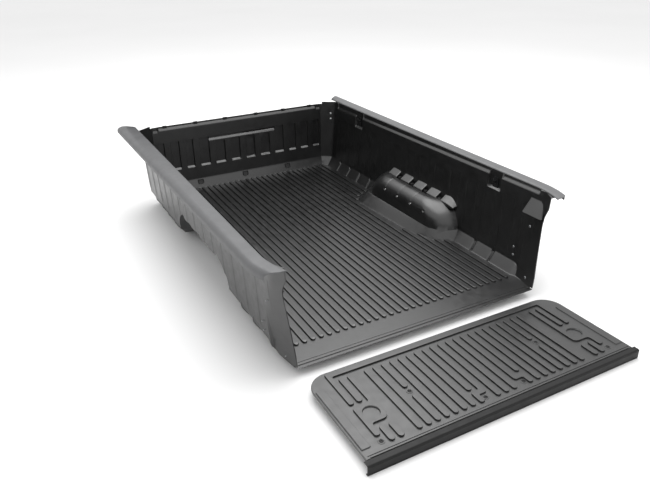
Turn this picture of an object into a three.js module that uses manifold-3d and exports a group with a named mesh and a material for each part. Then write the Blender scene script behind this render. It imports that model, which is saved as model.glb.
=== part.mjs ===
// Truck bed liner kit: a one-piece ribbed tub, two rail caps, a tailgate liner with its edge cap,
// and the clips, hooks and screws that hold them. Millimetres.
// +X is the right side, +Y points to the cab, +Z is up. The origin is the middle of the tub's underside.
// The kit lies as it does in the truck with the tailgate open; the truck's own metal is not part of it.

import * as THREE from 'three';
import { mergeVertices } from 'three/addons/utils/BufferGeometryUtils.js';
import { ConvexGeometry } from 'three/addons/geometries/ConvexGeometry.js';
import Module from 'manifold-3d';

const wasm = await Module();
wasm.setup();

// ---- Driving dimensions ----

const SHEET = 4;
const GAP = 0.3;
const FAR = 400;

const tub = {
  rearY: -1145,
  frontY: 1149,
  floorHalf: 680,
  kickTop: 64,
  kickHalf: 722,
  ledgeZ: 478,
  ledgeHalf: 744,
  shelf: 10,
  rimZ: 505,
  rimHalf: 756,
  flangeHalf: 782,
  frontRimZ: 489,
  frontRimHalf: 664,
  cornerFront: [652, 1149],
  cornerSide: [751, 1082],
  frontKickY: 1120,
  frontKickTop: 70,
  kickEndY: -985,
  postTopY: -1060,
  postTopHalf: 712,
  postFootHalf: 672,
  footHalf: 703,
};

const rib = { count: 31, pitch: 43, width: 24.6, height: 9, rearY: -994, frontY: 1128 };

const arch = {
  inner: 581,
  wall: 760,
  rearY: -480,
  frontY: 386,
  reach: 150,
  plain: 110,
  crest: 208,
  backCrest: 237,
};
const archBlocks = { count: 5, frontY: 244, pitch: 142, length: 97 };

// The sloping face near the rear top corner of each side: its lower, inner edge and its top.
const rearWedge = {
  edgeX: 698,
  edgeZ: 374,
  topX: 748,
  topZ: 455,
  footZ: 352,
  wallX: 760,
  frontY: -979,
  rearY: -1110,
};

// The rear edge of each side wall steps back below the rail, as [y, z].
const rearEdge = [
  [-1150, 16], [-1117, 345], [-1120, 392], [-1141, 436], [-1150, 446], [-1300, 446], [-1300, 16],
];

const cap = { frontY: 1165, nose: 70, rearY: -1185, turnY: -1000, turnIn: 40, crestZ: 515, taper: 0.0145 };

const gate = {
  nearY: -1231,
  farY: -1735,
  half: 690,
  topZ: 5,
  sheet: 4,
  skirt: 10,
  corner: 95,
  ribPitch: 42.8,
  ribCount: 21,
  ribHalf: 12.5,
  ribHeight: 7.5,
  ribNearY: -1296,
  ribFarY: -1701,
};

const edge = { half: 702, nearY: -1737, farY: -1765, bottomZ: -41, lip: 12, band: 4 };

const screw = { head: 8.5, shank: 3, hole: 3.6, length: 16, headHeight: 3 };

// ---- Solids: each geometry is turned into a closed manifold, so that pieces can be joined and cut ----

function toSolid(geometry) {
  const bare = geometry.clone();
  bare.deleteAttribute('normal');
  bare.deleteAttribute('uv');
  const merged = mergeVertices(bare, 1e-4);
  return new wasm.Manifold(new wasm.Mesh({
    numProp: 3,
    vertProperties: merged.attributes.position.array,
    triVerts: merged.index.array,
  }));
}

function toGeometry(solid) {
  const mesh = solid.getMesh();
  const geometry = new THREE.BufferGeometry();
  geometry.setAttribute('position', new THREE.BufferAttribute(mesh.vertProperties, 3));
  geometry.setIndex(new THREE.BufferAttribute(mesh.triVerts, 1));
  geometry.computeVertexNormals();
  return geometry;
}

function hull(points) {
  return toSolid(new ConvexGeometry(points.map((point) => new THREE.Vector3(...point))));
}

function box(low, high) {
  const size = high.map((value, axis) => value - low[axis]);
  const geometry = new THREE.BoxGeometry(...size);
  geometry.translate(...low.map((value, axis) => value + size[axis] / 2));
  return toSolid(geometry);
}

function outline(points) {
  return new THREE.Shape(points.map(([a, b]) => new THREE.Vector2(a, b)));
}

// A section drawn as [x, z] and run along Y.
function alongY(points, low, high) {
  const geometry = new THREE.ExtrudeGeometry(outline(points), { depth: high - low, bevelEnabled: false });
  geometry.rotateX(Math.PI / 2);
  geometry.translate(0, high, 0);
  return toSolid(geometry);
}

// A section drawn as [y, z] and run along X.
function alongX(points, low, high) {
  const geometry = new THREE.ExtrudeGeometry(outline(points), { depth: high - low, bevelEnabled: false });
  const turn = new THREE.Matrix4().makeBasis(
    new THREE.Vector3(0, 1, 0), new THREE.Vector3(0, 0, 1), new THREE.Vector3(1, 0, 0));
  geometry.applyMatrix4(turn);
  geometry.translate(low, 0, 0);
  return toSolid(geometry);
}

// A plan outline drawn as [x, y] and run up Z.
function upZ(shape, low, high) {
  const depth = high - low;
  const geometry = new THREE.ExtrudeGeometry(shape, { depth, bevelEnabled: false, curveSegments: 3 });
  geometry.translate(0, 0, low);
  return toSolid(geometry);
}

function union(solids) {
  return solids.reduce((sum, solid) => sum.add(solid));
}

function mirrored(points) {
  return [...points, ...points.map(([x, z]) => [-x, z]).reverse()];
}

// The two sides of the truck: +1 is right, -1 is left.
const SIDES = [['right', 1], ['left', -1]];

function flipped(points, side) {
  return points.map(([x, y, z]) => [x * side, y, z]);
}

// ---- Materials and the group ----

const group = new THREE.Group();

function finish(color, roughness, metalness) {
  return { color, roughness, metalness };
}

const LINER = finish(0x2b2c2e, 0.6, 0);
const RAIL = finish(0x3d3f41, 0.55, 0);
const GATE = finish(0x353638, 0.6, 0);
const TAPE = finish(0x151515, 0.9, 0);
const STEEL = finish(0x8c8f92, 0.35, 1);
const BLACK_STEEL = finish(0x1b1c1d, 0.4, 0.6);

function place(name, solid, look, position = [0, 0, 0], spin = null) {
  const mesh = new THREE.Mesh(toGeometry(solid), new THREE.MeshStandardMaterial(look));
  mesh.name = name;
  mesh.position.set(...position);
  if (spin) mesh.quaternion.copy(spin);
  group.add(mesh);
}

// ---- Tub ----

// Half-width of the side wall's inner face at a height between the kick and the ledge.
function wallHalf(z) {
  const share = (z - tub.kickTop) / (tub.ledgeZ - tub.kickTop);
  return tub.kickHalf + share * (tub.ledgeHalf - tub.kickHalf);
}

function insideSection(grow) {
  const floor = SHEET - grow;
  return [
    [tub.floorHalf + 0.4 * grow, floor],
    [tub.floorHalf + 0.5 * (tub.kickHalf - tub.floorHalf) + 0.7 * grow, 24 - 0.7 * grow],
    [tub.kickHalf - 7 + 0.9 * grow, 45 - 0.4 * grow],
    [tub.kickHalf + grow, tub.kickTop],
    [tub.ledgeHalf + grow, tub.ledgeZ - grow],
    [tub.ledgeHalf + tub.shelf + grow, tub.ledgeZ - grow],
  ];
}

// The space that the tub encloses, and the same space grown by the sheet, which is the tub's outside.
function insideSpace() {
  const section = mirrored([...insideSection(0), [tub.rimHalf, tub.rimZ], [tub.rimHalf, FAR * 2]]);
  return alongY(section, tub.rearY - FAR, tub.frontY);
}

function outsideShape() {
  const section = mirrored([
    ...insideSection(SHEET),
    [tub.rimHalf + SHEET, tub.rimZ - SHEET],
    [tub.flangeHalf, tub.rimZ - SHEET],
    [tub.flangeHalf, tub.rimZ],
  ]);
  return alongY(section, tub.rearY, tub.frontY + SHEET);
}

// A bump stands on the floor or a wall; its void is the same bump, smaller by the sheet.
function shrunk(points) {
  const bounds = new THREE.Box3().setFromPoints(points.map((point) => new THREE.Vector3(...point)));
  const size = bounds.getSize(new THREE.Vector3());
  const side = Math.sign(bounds.min.x + bounds.max.x);
  const anchorX = side > 0 ? bounds.max.x : bounds.min.x;
  const middleY = (bounds.min.y + bounds.max.y) / 2;
  return points.map(([x, y, z]) => [
    anchorX + (x - anchorX) * (1 - SHEET / size.x),
    middleY + (y - middleY) * (1 - (2 * SHEET) / size.y),
    bounds.min.z + (z - bounds.min.z) * (1 - SHEET / size.z),
  ]);
}

// One level of the wheel arch: a plan outline with quarter-ellipse ends against the side wall.
function archLoop(z, insetX, insetY) {
  const { wall, reach } = arch;
  const inner = arch.inner + insetX;
  const points = [];
  for (let step = 0; step <= 5; step += 1) {
    const turn = (step / 5) * (Math.PI / 2);
    const x = inner + (wall - inner) * (1 - Math.cos(turn));
    const dip = reach * (1 - Math.sin(turn));
    points.push([x, arch.rearY + insetY + dip, z]);
    points.push([x, arch.frontY - insetY - dip, z]);
  }
  return points;
}

function archPoints() {
  const levels = [
    [-20, 0, 0], [70, 1, 4], [arch.plain, 2, 14], [140, 5, 30], [165, 13, 50],
    [186, 28, 74], [201, 50, 100], [arch.crest, 76, 124],
  ];
  return levels.flatMap(([z, insetX, insetY]) => archLoop(z, insetX, insetY));
}

// The sloping foot round the arch, wider towards the cab.
function archFootPoints() {
  const low = [
    [760, -530], [665, -488], [600, -440], [560, -395], [537, -293], [523, -158],
    [512, 57], [502, 270], [516, 330], [556, 392], [640, 440], [760, 462],
  ];
  const high = [
    [760, -494], [664, -450], [600, -400], [578, -336],
    [577, 250], [600, 350], [664, 396], [760, 412],
  ];
  return [
    ...low.map(([x, y]) => [x, y, -20]),
    ...low.map(([x, y]) => [x, y, SHEET]),
    ...high.map(([x, y]) => [x, y, tub.kickTop]),
  ];
}

// The second, higher row of five blocks between the crest and the side wall.
function backBlockPoints(index) {
  const front = archBlocks.frontY - index * archBlocks.pitch;
  const rear = front - archBlocks.length;
  const top = arch.backCrest;
  const profile = [[688, 190], [692, 206], [706, 219], [736, top], [arch.wall, top], [arch.wall, 190]];
  return profile.flatMap(([x, z]) => [[x, rear, z], [x, front, z]]);
}

// A wedge near the rear top corner of each side, sloping in towards the load space.
function rearWedgePoints() {
  const { edgeX, edgeZ, topX, topZ, footZ, wallX, frontY, rearY } = rearWedge;
  const foot = [[edgeX, edgeZ], [topX, footZ], [wallX, footZ]];
  const top = [[topX, topZ], [wallX, topZ]];
  return [
    ...foot.flatMap(([x, z]) => [[x, frontY, z], [x, rearY, z]]),
    ...top.flatMap(([x, z]) => [[x, frontY - 10, z], [x, rearY + 38, z]]),
  ];
}

function ribPrism(x) {
  const half = rib.width / 2;
  const shape = new THREE.Shape();
  shape.moveTo(x - half, rib.rearY + half);
  shape.absarc(x, rib.rearY + half, half, Math.PI, 2 * Math.PI, false);
  shape.absarc(x, rib.frontY - half, half, 0, Math.PI, false);
  return upZ(shape, SHEET - 1, SHEET + rib.height);
}

// The hollow under a rib, which makes the floor a corrugated sheet instead of a slab.
// The middle rib stays solid below, so that the origin lies on material.
function ribHollow(x) {
  const half = rib.width / 2 - SHEET;
  return box([x - half, rib.rearY + 2 * SHEET, -1], [x + half, 1098, rib.height]);
}

// Grooves that split each side's kick into blocks.
const kickGroovesY = [-790, -640, 512, 655, 800, 945];
const kickGroove = { near: 690, far: 727, half: 6, lowZ: 22, topZ: 66 };

// Notches in the ledge for the tie-down hooks.
const notchesY = [-717, 720];
const NOTCH_HALF = 50;
const NOTCH_LOW = 395;
const NOTCH_WALL = 754;

// Tall pockets in the front wall, by their outer and inner edges from the middle.
const frontPockets = [[23, 94], [139, 215], [258, 330], [376, 433], [476, 537], [582, 635]];
const POCKET_LOW = 165;
const POCKET_HIGH = 345;
const POCKET_DEPTH = 12;

// Steps in the front wall: the wide recess above, a small one at each end, and the shelf that stands out.
const frontRecess = { half: 610, lowZ: 466, depth: 10 };
const frontTab = { near: 615, far: 646, lowZ: 455, depth: 7 };
const frontShelf = { half: 258, lowZ: 335, topZ: 350, reach: 8 };

const screwSpotsSide = [
  { name: 'rear_upper', y: -1017, z: 297 },
  { name: 'rear_lower', y: -1077, z: 36 },
  { name: 'side_upper', y: -931, z: 145 },
  { name: 'side_lower', y: -936, z: 100 },
];

const CORNER_SCREW_X = 718;
const cornerScrewsZ = { upper: 414, lower: 374 };

// Front corners are cut across in plan.
function cornerWedge(side, grow) {
  const [frontX, frontY] = tub.cornerFront;
  const [sideX, sideY] = tub.cornerSide;
  const plan = [
    [frontX + grow / 2, frontY + grow],
    [sideX + grow, sideY + grow / 2],
    [FAR * 3, sideY + grow / 2],
    [FAR * 3, FAR * 4],
    [frontX + grow / 2, FAR * 4],
  ];
  return hull(plan.flatMap(([x, y]) => flipped([[x, y, -50], [x, y, FAR * 2 + 50]], side)));
}

// The front kick carries on across each corner.
function cornerKick(side) {
  const [frontX, frontY] = tub.cornerFront;
  const [sideX, sideY] = tub.cornerSide;
  const run = new THREE.Vector2(sideX - frontX, sideY - frontY).normalize();
  const reach = tub.frontY - tub.frontKickY;
  const inX = run.y * reach;
  const inY = -run.x * reach;
  const points = [
    [frontX, frontY, tub.frontKickTop], [sideX, sideY, tub.frontKickTop],
    [frontX + inX, frontY + inY, SHEET], [sideX + inX, sideY + inY, SHEET],
    [frontX + inX, frontY + inY, -20], [sideX + inX, sideY + inY, -20],
    [frontX, frontY + 20, tub.frontKickTop], [sideX + 20, sideY, tub.frontKickTop],
    [frontX, frontY + 20, -20], [sideX + 20, sideY, -20],
  ];
  return hull(flipped(points, side));
}

// Behind the last kick block the wall meets the floor directly.
function rearFoot(side, grow) {
  const end = tub.kickEndY + grow;
  const rear = grow ? tub.rearY : tub.rearY - FAR;
  const foot = tub.footHalf + grow;
  const section = [[600, SHEET - grow], [foot, SHEET - grow], [foot + 10, 16 - grow], [724 + grow, 80], [600, 80]];
  return hull(flipped(section.flatMap(([x, z]) => [[x, rear, z], [x, end, z]]), side));
}

// The rear end of each wall draws in towards the tailgate opening. Its face twists, so it is cut in slices.
function rearPostLevel(z, grow) {
  const share = THREE.MathUtils.clamp((z - SHEET) / (tub.rimZ - SHEET), 0, 1);
  const startX = THREE.MathUtils.lerp(tub.footHalf, tub.rimHalf + 2, share) + grow;
  const startY = THREE.MathUtils.lerp(tub.kickEndY, tub.postTopY, share);
  const endX = THREE.MathUtils.lerp(tub.postFootHalf, tub.postTopHalf, share) + grow;
  const rear = tub.rearY - 40;
  const beyond = endX - 40 * ((startX - endX) / (startY - tub.rearY));
  return [[startX, startY, z], [beyond, rear, z], [FAR * 3, rear, z], [FAR * 3, startY, z]];
}

function rearPostWedge(side, grow) {
  const slices = 5;
  const levels = [-50];
  for (let step = 0; step <= slices; step += 1) {
    levels.push(SHEET + (step / slices) * (tub.rimZ - SHEET));
  }
  if (!grow) levels.push(FAR * 2);
  const pieces = [];
  for (let index = 0; index + 1 < levels.length; index += 1) {
    const points = [...rearPostLevel(levels[index], grow), ...rearPostLevel(levels[index + 1], grow)];
    pieces.push(hull(flipped(points, side)));
  }
  const wedge = union(pieces);
  return grow ? wedge.subtract(box([-FAR * 4, -FAR * 4, tub.rimZ - SHEET], [FAR * 4, 0, FAR * 2])) : wedge;
}

function rearEdgeCut(side) {
  return alongX(rearEdge, side > 0 ? 600 : -800, side > 0 ? 800 : -600);
}

function makeTub() {
  const inside = [];
  const outside = [];
  for (const [, side] of SIDES) {
    for (const y of notchesY) {
      inside.push(box(...corners(
        [730, y - NOTCH_HALF, NOTCH_LOW],
        [NOTCH_WALL, y + NOTCH_HALF, tub.ledgeZ + 1], side)));
      outside.push(box(...corners(
        [735, y - NOTCH_HALF - SHEET, NOTCH_LOW - SHEET],
        [NOTCH_WALL + SHEET, y + NOTCH_HALF + SHEET, tub.ledgeZ + 1], side)));
    }
    const { near, far, half, lowZ, topZ } = kickGroove;
    for (const y of kickGroovesY) {
      inside.push(box(...corners([near, y - half, lowZ], [far, y + half, topZ], side)));
      outside.push(box(...corners(
        [near, y - half - SHEET, lowZ - SHEET], [far + SHEET, y + half + SHEET, topZ + SHEET], side)));
    }
    inside.push(rearFoot(side, 0));
    outside.push(rearFoot(side, SHEET));
    for (const [near, far] of frontPockets) {
      inside.push(box(...corners(
        [near, tub.frontY - 1, POCKET_LOW], [far, tub.frontY + POCKET_DEPTH, POCKET_HIGH], side)));
      outside.push(box(...corners(
        [near - SHEET, tub.frontY, POCKET_LOW - SHEET],
        [far + SHEET, tub.frontY + POCKET_DEPTH + SHEET, POCKET_HIGH + SHEET], side)));
    }
    const tab = frontTab;
    inside.push(box(...corners(
      [tab.near, tub.frontY - 1, tab.lowZ],
      [tab.far, tub.frontY + tab.depth, FAR * 2], side)));
    outside.push(box(...corners(
      [tab.near - SHEET, tub.frontY, tab.lowZ - SHEET],
      [tab.far + SHEET, tub.frontY + tab.depth + SHEET, tub.rimZ], side)));
  }
  const wide = frontRecess;
  inside.push(box([-wide.half, tub.frontY - 1, wide.lowZ], [wide.half, tub.frontY + wide.depth, FAR * 2]));
  outside.push(box(
    [-wide.half - SHEET, tub.frontY, wide.lowZ - SHEET],
    [wide.half + SHEET, tub.frontY + wide.depth + SHEET, tub.rimZ]));
  const shelf = box(
    [-frontShelf.half, tub.frontY - frontShelf.reach, frontShelf.lowZ],
    [frontShelf.half, tub.frontY + 1, frontShelf.topZ]);
  let space = union([insideSpace(), ...inside]).subtract(shelf);
  let shape = union([outsideShape(), ...outside]);

  for (const [, side] of SIDES) {
    const bumps = [archPoints(), archFootPoints(), rearWedgePoints()];
    for (let index = 0; index < archBlocks.count; index += 1) bumps.push(backBlockPoints(index));
    for (const bump of bumps) {
      space = space.subtract(hull(flipped(bump, side)));
    }
    space = space.subtract(cornerWedge(side, 0)).subtract(cornerKick(side)).subtract(rearPostWedge(side, 0));
    shape = shape.subtract(cornerWedge(side, SHEET)).subtract(rearPostWedge(side, SHEET));
    shape = shape.subtract(hull(shrunk(flipped(archPoints(), side))));
    shape = shape.subtract(hull(shrunk(flipped(archFootPoints(), side))));
  }

  const kick = [[tub.frontKickY, SHEET], [tub.frontY, tub.frontKickTop], [FAR * 4, tub.frontKickTop],
    [FAR * 4, -50], [tub.frontKickY, -50]];
  space = space.subtract(alongX(kick, -FAR * 2, FAR * 2));
  const kickVoid = [[1126, -50], [1126, 5], [1153, 66], [FAR * 4, 66], [FAR * 4, -50]];
  shape = shape.subtract(alongX(kickVoid, -FAR * 2, FAR * 2));

  const first = -((rib.count - 1) / 2) * rib.pitch;
  for (let index = 0; index < rib.count; index += 1) {
    const x = first + index * rib.pitch;
    space = space.subtract(ribPrism(x));
    const middle = index === (rib.count - 1) / 2;
    const nearArch = Math.abs(x) > 470;
    if (!middle && !nearArch) shape = shape.subtract(ribHollow(x));
  }

  shape = shape.subtract(box([-tub.frontRimHalf, 1100, tub.frontRimZ], [tub.frontRimHalf, FAR * 4, FAR * 3]));
  for (const [, side] of SIDES) shape = shape.subtract(rearEdgeCut(side));
  let liner = shape.subtract(space);
  for (const hole of screwHoles) liner = liner.subtract(hole);
  return liner;
}

// Low and high corners of a box given for the right side, moved to either side.
function corners(low, high, side) {
  if (side > 0) return [low, high];
  return [[-high[0], low[1], low[2]], [-low[0], high[1], high[2]]];
}

// ---- Fasteners: a screw has a domed head on its axis and a plain shank below it ----

const SCREW_SIDES = 10;
const UP = new THREE.Vector3(0, 0, 1);

function screwSolid() {
  const profile = [
    [0, -screw.length], [screw.shank, -screw.length + 1.5], [screw.shank, 0], [screw.head, 0],
    [screw.head * 0.92, screw.headHeight * 0.6], [screw.head * 0.45, screw.headHeight], [0, screw.headHeight],
  ];
  const geometry = new THREE.LatheGeometry(profile.map(([r, h]) => new THREE.Vector2(r, h)), SCREW_SIDES);
  geometry.rotateX(Math.PI / 2);
  return toSolid(geometry);
}

// How far the rear post's face draws in for each millimetre along the wall's foot.
const POST_TURN = (tub.footHalf - tub.postFootHalf) / (tub.kickEndY - tub.rearY);

const screwHoles = [];
const gateHoles = [];

function holeAt(point, spin) {
  const geometry = new THREE.CylinderGeometry(screw.hole, screw.hole, 70, SCREW_SIDES);
  geometry.rotateX(Math.PI / 2);
  geometry.applyQuaternion(spin);
  geometry.translate(...point);
  return toSolid(geometry);
}

function addScrew(name, point, normal, holes, look = STEEL) {
  const out = new THREE.Vector3(...normal).normalize();
  const spin = new THREE.Quaternion().setFromUnitVectors(UP, out);
  const seat = new THREE.Vector3(...point).addScaledVector(out, GAP);
  holes.push(holeAt(point, spin));
  place(name, screwSolid(), look, seat.toArray(), spin);
}

function addTubScrews() {
  const lean = (tub.ledgeHalf - tub.kickHalf) / (tub.ledgeZ - tub.kickTop);
  for (const [label, side] of SIDES) {
    for (const spot of screwSpotsSide) {
      const onPost = spot.y < tub.postTopY;
      const inward = (tub.kickEndY - spot.y) * POST_TURN;
      const x = onPost ? tub.footHalf - inward + 1.2 : wallHalf(spot.z) - 0.4;
      const normal = onPost ? [-side, POST_TURN, 0.06] : [-side, 0, lean];
      addScrew(`${label}_${spot.name}_screw`, [side * x, spot.y, spot.z], normal, screwHoles);
    }
  }
}

// ---- Rail caps: a shallow channel over each bed rail, its rear end turned in round the corner post ----

function capSection() {
  const outer = [
    [753, 507], [755, 512], [762, cap.crestZ], [805, cap.crestZ + 1],
    [824, 512], [839, 503], [846, 494], [847, 474],
  ];
  const inner = [
    [843, 474], [842, 493], [836, 500], [822, 508],
    [804, 511.5], [764, 510.5], [759, 508.5], [757, 507],
  ];
  return [...outer, ...inner];
}

function makeRailCap(side) {
  const shift = (y) => {
    const share = THREE.MathUtils.clamp((cap.turnY - y) / (cap.turnY - cap.rearY), 0, 1);
    return cap.turnIn * share * share;
  };
  const section = capSection();
  const stations = [cap.frontY + cap.nose, cap.frontY, cap.turnY];
  const turns = 5;
  for (let step = 1; step <= turns; step += 1) {
    stations.push(cap.turnY + (step / turns) * (cap.rearY - cap.turnY));
  }
  const pieces = [];
  for (let index = 0; index + 1 < stations.length; index += 1) {
    const near = stations[index];
    const far = stations[index + 1];
    pieces.push(...capStretch(section, near, far, shift(near), shift(far)));
  }
  let solid = union(pieces.map((points) => hull(flipped(points, side))));
  const nose = [
    [740, cap.frontY - 20], [740, FAR * 4], [FAR * 3, FAR * 4],
    [FAR * 3, cap.frontY + cap.nose + 20], [830, cap.frontY + cap.nose - 4], [770, cap.frontY + 8],
  ];
  solid = solid.subtract(upZ(outline(nose.map(([x, y]) => [x * side, y])), 400, 600));
  const tail = [
    [FAR * 3, cap.rearY - 50], [FAR * 3, cap.rearY + 90], [846, cap.rearY + 90],
    [812, cap.rearY + 60], [790, cap.rearY + 22], [770, cap.rearY - 5], [770, cap.rearY - 50],
  ];
  return solid.subtract(upZ(outline(tail.map(([x, y]) => [x * side, y])), 400, 600));
}

// The channel's outer skirt stands further out towards the cab, as the truck's side does.
function skirtShift(x, y) {
  const share = THREE.MathUtils.clamp((x - 800) / 46, 0, 1);
  return share * y * cap.taper;
}

// One stretch of the channel, as convex slices between matching outer and inner points.
function capStretch(section, near, far, shiftNear, shiftFar) {
  const half = section.length / 2;
  const slices = [];
  for (let index = 0; index + 1 < half; index += 1) {
    const ring = [section[index], section[index + 1], section[section.length - 2 - index],
      section[section.length - 1 - index]];
    slices.push([
      ...ring.map(([x, z]) => [x - shiftNear + skirtShift(x, near), near, z]),
      ...ring.map(([x, z]) => [x - shiftFar + skirtShift(x, far), far, z]),
    ]);
  }
  return slices;
}

const tape = { near: 765, far: 780, rearY: -1040, frontY: 1080, topZ: 509.8 };

function makeTape(side) {
  return box(...corners([tape.near, tape.rearY, tub.rimZ + GAP], [tape.far, tape.frontY, tape.topZ], side));
}

// ---- Front clips, rim clips and tie-down hooks ----

const floorClipsX = [['left', -350], ['centre', 0], ['right', 350]];

const floorClip = { width: 42, length: 34, plate: 3, bow: [26, 8, 7], footY: 1140 };

// A clip that lies on the sloping front kick: a plate with a bow across it.
function makeFloorClip(x) {
  const rise = tub.frontKickTop - SHEET - 1;
  const reach = tub.frontY - tub.frontKickY;
  const slope = Math.atan2(rise, reach);
  const plate = toSolid(new THREE.BoxGeometry(floorClip.width, floorClip.length, floorClip.plate));
  const bow = toSolid(new THREE.BoxGeometry(...floorClip.bow).translate(0, 4, 4));
  const geometry = toGeometry(plate.add(bow));
  geometry.rotateX(slope);
  const lift = floorClip.plate / 2 + GAP + 0.2;
  const footZ = SHEET + (rise * (floorClip.footY - tub.frontKickY)) / reach + 1;
  geometry.translate(x, floorClip.footY - Math.sin(slope) * lift, footZ + Math.cos(slope) * lift);
  return toSolid(geometry);
}

const rimClipsX = [-560, -340, -120, 120, 340, 560];
const rimClip = { half: 14, metal: 2, insideLow: 474, outsideLow: 470, topZ: 492 };

// A spring clip that hooks over the top edge of the front wall.
function makeRimClip(x) {
  const { half, metal, insideLow, outsideLow, topZ } = rimClip;
  const inner = tub.frontY + frontRecess.depth - GAP;
  const outer = tub.frontY + frontRecess.depth + SHEET + GAP;
  const seat = tub.frontRimZ + GAP;
  const wrap = [[inner, insideLow], [inner - metal, insideLow], [inner - metal, topZ], [outer + metal, topZ],
    [outer + metal, outsideLow], [outer, outsideLow], [outer, seat], [inner, seat]];
  return alongX(wrap, x - half, x + half);
}

const hook = {
  plateHalf: 20,
  plateLow: 405,
  plateTop: 468,
  plate: 3,
  half: 6,
  reach: 20,
  armLow: 443,
  armTop: 450,
};

// A fixed hook on a plate, seated in each ledge notch.
function makeHook(side, y) {
  const wall = NOTCH_WALL - GAP;
  const across = (half, section) => section.flatMap(([x, z]) => [[x, y - half, z], [x, y + half, z]]);
  const plate = across(hook.plateHalf, [[wall, hook.plateLow], [wall - hook.plate, hook.plateLow],
    [wall, hook.plateTop], [wall - hook.plate, hook.plateTop]]);
  const outer = wall - hook.reach;
  const arm = across(hook.half, [[wall - 2, hook.armLow - 3], [wall - 2, hook.armTop + 2],
    [outer, hook.armLow], [outer, hook.armTop]]);
  const tip = across(hook.half, [[outer, hook.armLow], [outer + 6, hook.armLow],
    [outer + 2, hook.plateTop], [outer + 6, hook.plateTop]]);
  return union([plate, arm, tip].map((points) => hull(flipped(points, side))));
}

// ---- Tailgate liner and its edge cap ----

function gateOutline(inset) {
  const half = gate.half - inset;
  const near = gate.nearY - inset;
  const far = gate.farY + inset;
  const round = gate.corner - inset;
  const shape = new THREE.Shape();
  shape.moveTo(-half, far);
  shape.lineTo(half, far);
  shape.lineTo(half, near - round);
  shape.absarc(half - round, near - round, round, 0, Math.PI / 2, false);
  shape.absarc(-half + round, near - round, round, Math.PI / 2, Math.PI, false);
  return shape;
}

const gateScrews = [[-344, -1503], [344, -1503], [-595, -1684], [595, -1684], [-101, -1681], [101, -1681]];
const screwPad = { halfX: 24, halfY: 16 };

// What stands on the panel's left end, as [low x, high x, far y, near y]; the right end mirrors it.
const gateEndBars = [
  [-601, 0, -1276, -1245],
  [-601, -577, -1464, -1245],
  [-563, -537, -1464, -1296],
  [-522, -496, -1485, -1296],
  [-603, -496, -1591, -1479],
  [-603, -577, -1656, -1479],
  [-566, -539, -1702, -1614],
  [-525, -497, -1702, -1614],
];
const gateDish = { x: 547, y: -1537, radius: 35, sides: 20 };
const gateBorder = { near: 641, far: 684, nearY: -1330, farY: -1691, height: 4 };

// Ribs that make room for a screw: how far they stop from it, and where the bent and the short ones turn.
const ribBreak = { clear: 24, bendY: -1646, shortY: -1621 };

function ribSlab(x, farY, nearY, low, high) {
  return box([x - gate.ribHalf, farY, low], [x + gate.ribHalf, nearY, high]);
}

// One rib of the panel, given by its place in the row. Ribs beside a screw are split, bent or cut short.
function gateRib(index, low, high) {
  const x = (index - (gate.ribCount - 1) / 2) * gate.ribPitch;
  const out = Math.sign(x);
  const near = gate.ribPitch / 2;
  const onScrew = gateScrews.find(([sx]) => Math.abs(x - sx) < near);
  const outside = gateScrews.find(([sx]) => Math.abs(x - out * gate.ribPitch - sx) < near);
  if (outside && outside[1] < ribBreak.bendY) return [ribSlab(x, ribBreak.shortY, gate.ribNearY, low, high)];
  if (!onScrew) return [ribSlab(x, gate.ribFarY, gate.ribNearY, low, high)];
  const [, y] = onScrew;
  if (y > ribBreak.bendY) {
    return [
      ribSlab(x, y + ribBreak.clear, gate.ribNearY, low, high),
      ribSlab(x, gate.ribFarY, y - ribBreak.clear, low, high),
    ];
  }
  const bent = x + out * gate.ribPitch;
  return [
    ribSlab(x, ribBreak.bendY - gate.ribHalf, gate.ribNearY, low, high),
    box([Math.min(x, bent) - gate.ribHalf, ribBreak.bendY - gate.ribHalf, low],
      [Math.max(x, bent) + gate.ribHalf, ribBreak.bendY + gate.ribHalf, high]),
    ribSlab(bent, gate.ribFarY, ribBreak.bendY, low, high),
  ];
}

function makeGatePanel() {
  const bottom = gate.topZ - gate.skirt;
  const body = upZ(gateOutline(0), bottom, gate.topZ);
  const hollow = upZ(gateOutline(gate.sheet), bottom - 1, gate.topZ - gate.sheet);
  const low = gate.topZ - 1;
  const high = gate.topZ + gate.ribHeight;
  const solids = [body.subtract(hollow)];
  for (const [x, y] of gateScrews) {
    const { halfX, halfY } = screwPad;
    solids.push(box([x - halfX, y - halfY, bottom], [x + halfX, y + halfY, low]));
  }
  for (let index = 0; index < gate.ribCount; index += 1) solids.push(...gateRib(index, low, high));
  for (const [, side] of SIDES) {
    for (const [lowX, highX, farY, nearY] of gateEndBars) {
      solids.push(box(...corners([-highX, farY, low], [-lowX, nearY, high], side)));
    }
    const border = gateBorder;
    const top = gate.topZ + border.height;
    solids.push(box(...corners([border.near, border.farY, low], [border.far, border.nearY, top], side)));
  }
  let panel = union(solids);
  for (const [, side] of SIDES) {
    const dish = new THREE.CylinderGeometry(gateDish.radius, gateDish.radius, gate.ribHeight, gateDish.sides);
    dish.rotateX(Math.PI / 2);
    dish.translate(side * gateDish.x, gateDish.y, high);
    panel = panel.subtract(toSolid(dish));
  }
  for (const hole of gateHoles) panel = panel.subtract(hole);
  return panel;
}

function makeEdgeCap() {
  const { nearY, farY, bottomZ, lip, band } = edge;
  const top = gate.topZ;
  const section = [
    [nearY, top], [farY + 8, top], [farY, top - 6], [farY, bottomZ], [farY + lip, bottomZ],
    [farY + lip, bottomZ + band], [farY + band, bottomZ + band], [farY + band, top - 8],
    [farY + 10, top - band], [nearY, top - band],
  ];
  return alongX(section, -edge.half, edge.half);
}

// ---- Assembly ----

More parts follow.
